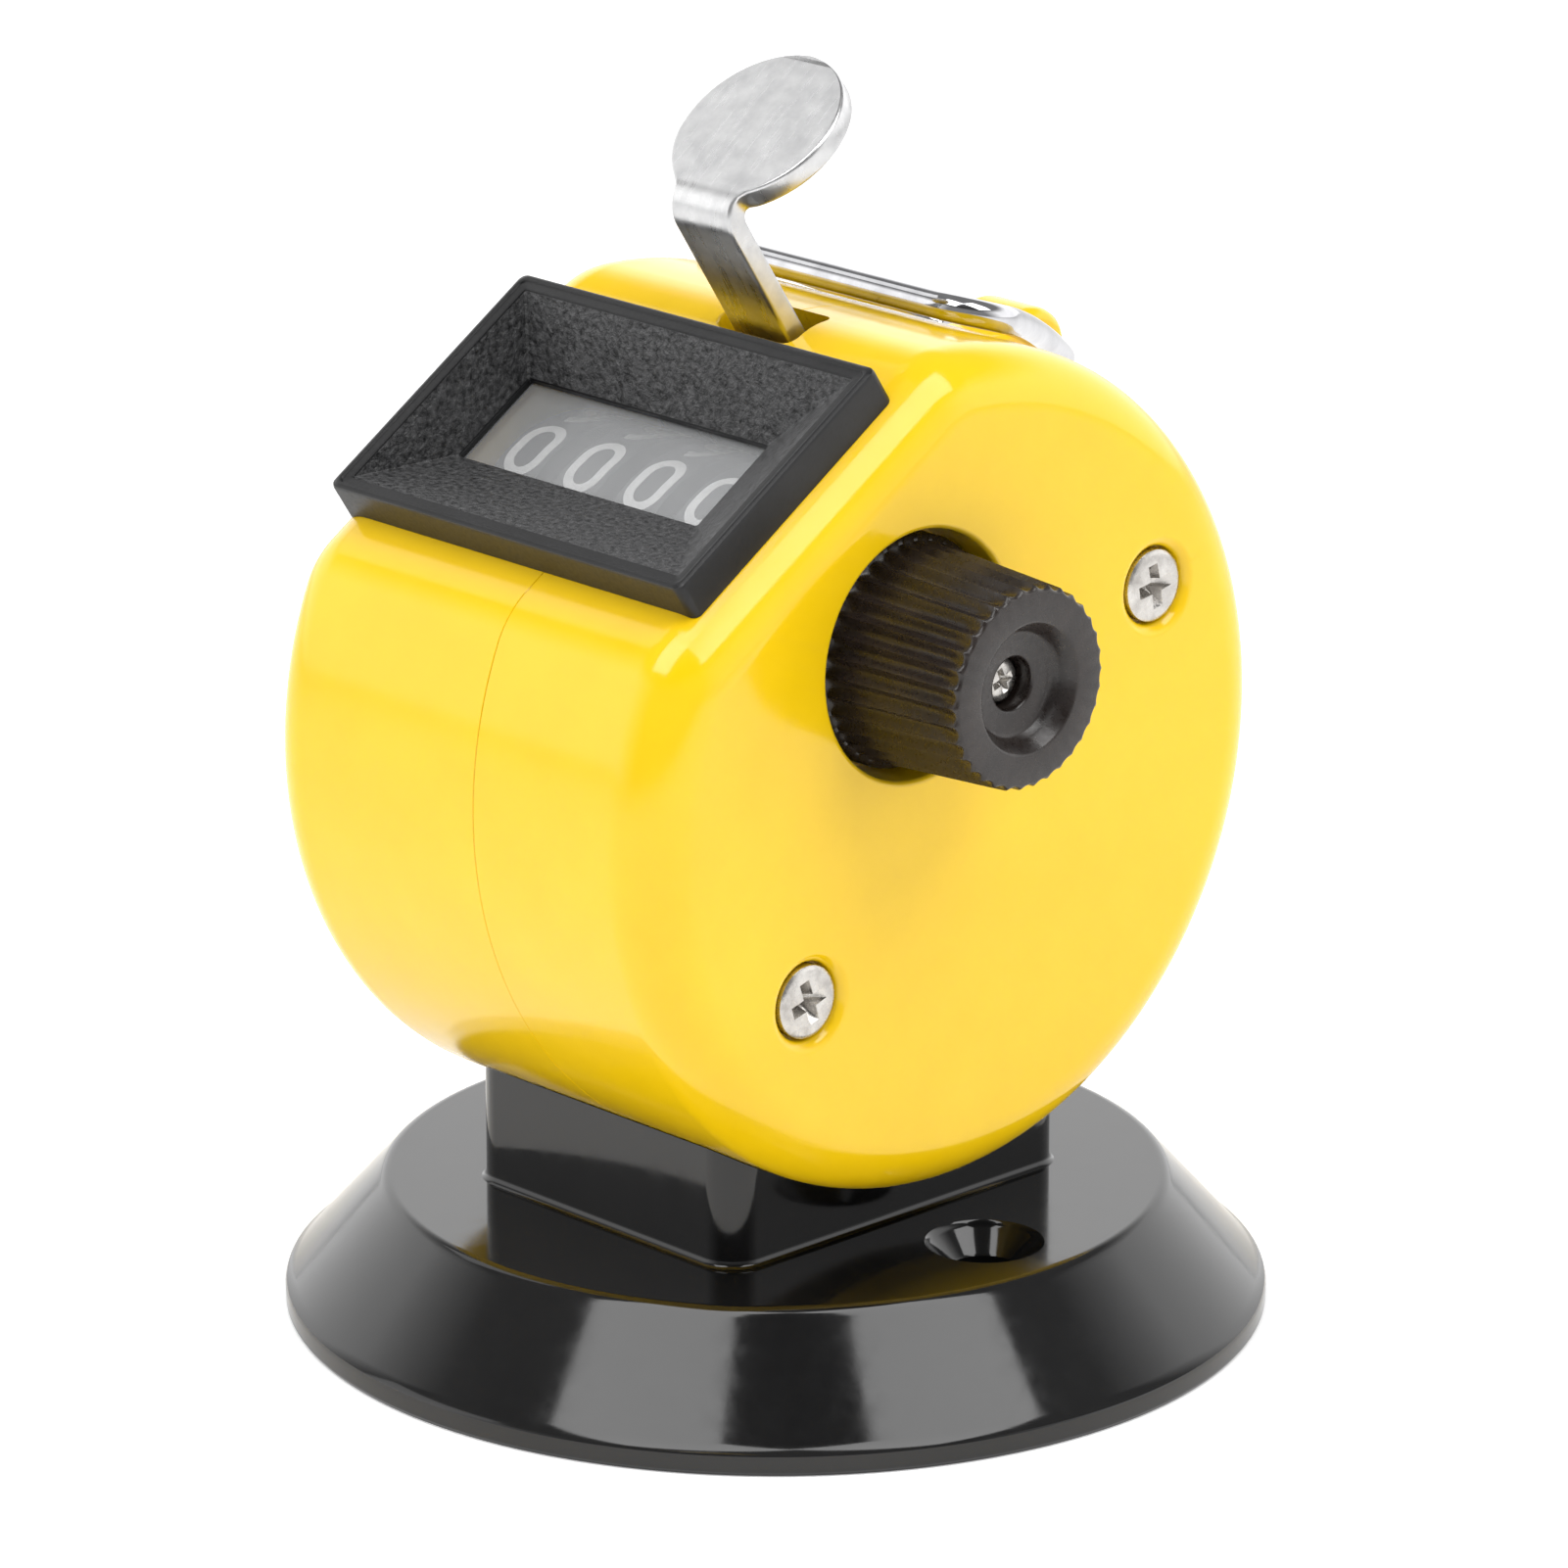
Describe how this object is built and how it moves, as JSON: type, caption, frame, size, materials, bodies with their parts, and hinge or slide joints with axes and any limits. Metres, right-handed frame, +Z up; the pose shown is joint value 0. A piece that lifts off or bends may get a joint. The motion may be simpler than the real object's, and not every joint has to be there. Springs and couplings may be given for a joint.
{
  "type": "hand tally counter",
  "caption": "Hand tally counter on a round desk stand: drum housing with a framed number window, thumb lever, reset knob and a wire bail that folds onto the drum.",
  "frame": {"origin": "centre of the stand's underside", "axes": "+Z up, +X along the drum's axis towards the reset knob, -Y towards the display"},
  "size_m": [0.06, 0.06, 0.0772],
  "materials": {
    "yellow_plastic": "polished moulding",
    "bezel_plastic": "fine leather grain in the funnel",
    "window_clear": "clear moulded pane",
    "black_plastic": "polished moulding",
    "knob_plastic": "satin, ribbed",
    "wheel_plastic": "satin",
    "nickel_steel": "satin nickel plate",
    "chrome_wire": "bright chrome plate",
    "zinc_screw": "bright zinc plate",
    "spring_steel": "plain steel"
  },
  "bodies": {
    "housing": {"left_shell": "yellow_plastic", "right_cover": "yellow_plastic", "display_bezel": "bezel_plastic", "display_window": "window_clear", "base_stand": "black_plastic", "stand_screw_left": "zinc_screw", "stand_screw_right": "zinc_screw", "cover_screw_front": "zinc_screw", "cover_screw_rear": "zinc_screw", "lever_pin": "spring_steel", "lever_spring": "spring_steel", "detent_comb": "spring_steel", "detent_screw": "zinc_screw"},
    "lever": {"thumb_lever": "nickel_steel", "pawl_pin": "spring_steel"},
    "pawl": {"pawl_comb": "nickel_steel"},
    "reset": {"reset_knob": "knob_plastic", "wheel_shaft": "nickel_steel", "knob_screw": "zinc_screw", "shaft_clip": "spring_steel"},
    "units": {"units_wheel": "wheel_plastic"},
    "tens": {"tens_wheel": "wheel_plastic"},
    "hundreds": {"hundreds_wheel": "wheel_plastic"},
    "thousands": {"thousands_wheel": "wheel_plastic"},
    "bail": {"bail": "chrome_wire"}
  },
  "joints": [
    {"name": "lever_press", "type": "hinge", "parent": "housing", "child": "lever", "pos_m": [0.0018, -0.018, 0.044], "axis": [-1, 0, 0], "range_deg": [0, 11], "stiffness_Nm_per_rad": 0.3, "springref_deg": -14.32, "deforming": ["lever_spring"]},
    {"name": "pawl_tilt", "type": "hinge", "parent": "lever", "child": "pawl", "pos_m": [-0.003, 0.0073, 0.045], "axis": [-1, 0, 0], "range_deg": [0, 8], "stiffness_Nm_per_rad": 0.004, "springref_deg": -11.46},
    {"name": "knob_turn", "type": "hinge", "parent": "housing", "child": "reset", "pos_m": [0.019, -0.0046, 0.0453], "axis": [-1, 0, 0], "continuous": true},
    {"name": "units_turn", "type": "hinge", "parent": "housing", "child": "units", "pos_m": [0.00405, -0.0046, 0.0453], "axis": [-1, 0, 0], "continuous": true},
    {"name": "tens_turn", "type": "hinge", "parent": "housing", "child": "tens", "pos_m": [-0.0012, -0.0046, 0.0453], "axis": [-1, 0, 0], "continuous": true},
    {"name": "hundreds_turn", "type": "hinge", "parent": "housing", "child": "hundreds", "pos_m": [-0.00645, -0.0046, 0.0453], "axis": [-1, 0, 0], "continuous": true},
    {"name": "thousands_turn", "type": "hinge", "parent": "housing", "child": "thousands", "pos_m": [-0.0117, -0.0046, 0.0453], "axis": [-1, 0, 0], "continuous": true},
    {"name": "bail_swing", "type": "hinge", "parent": "housing", "child": "bail", "pos_m": [0, 0.02099, 0.05556], "axis": [-1, 0, 0], "range_deg": [0, 200]}
  ],
  "couplings": [
    {"joint": "tens_turn", "follows": "units_turn", "ratio": 0.1},
    {"joint": "hundreds_turn", "follows": "units_turn", "ratio": 0.01},
    {"joint": "thousands_turn", "follows": "units_turn", "ratio": 0.001}
  ]
}
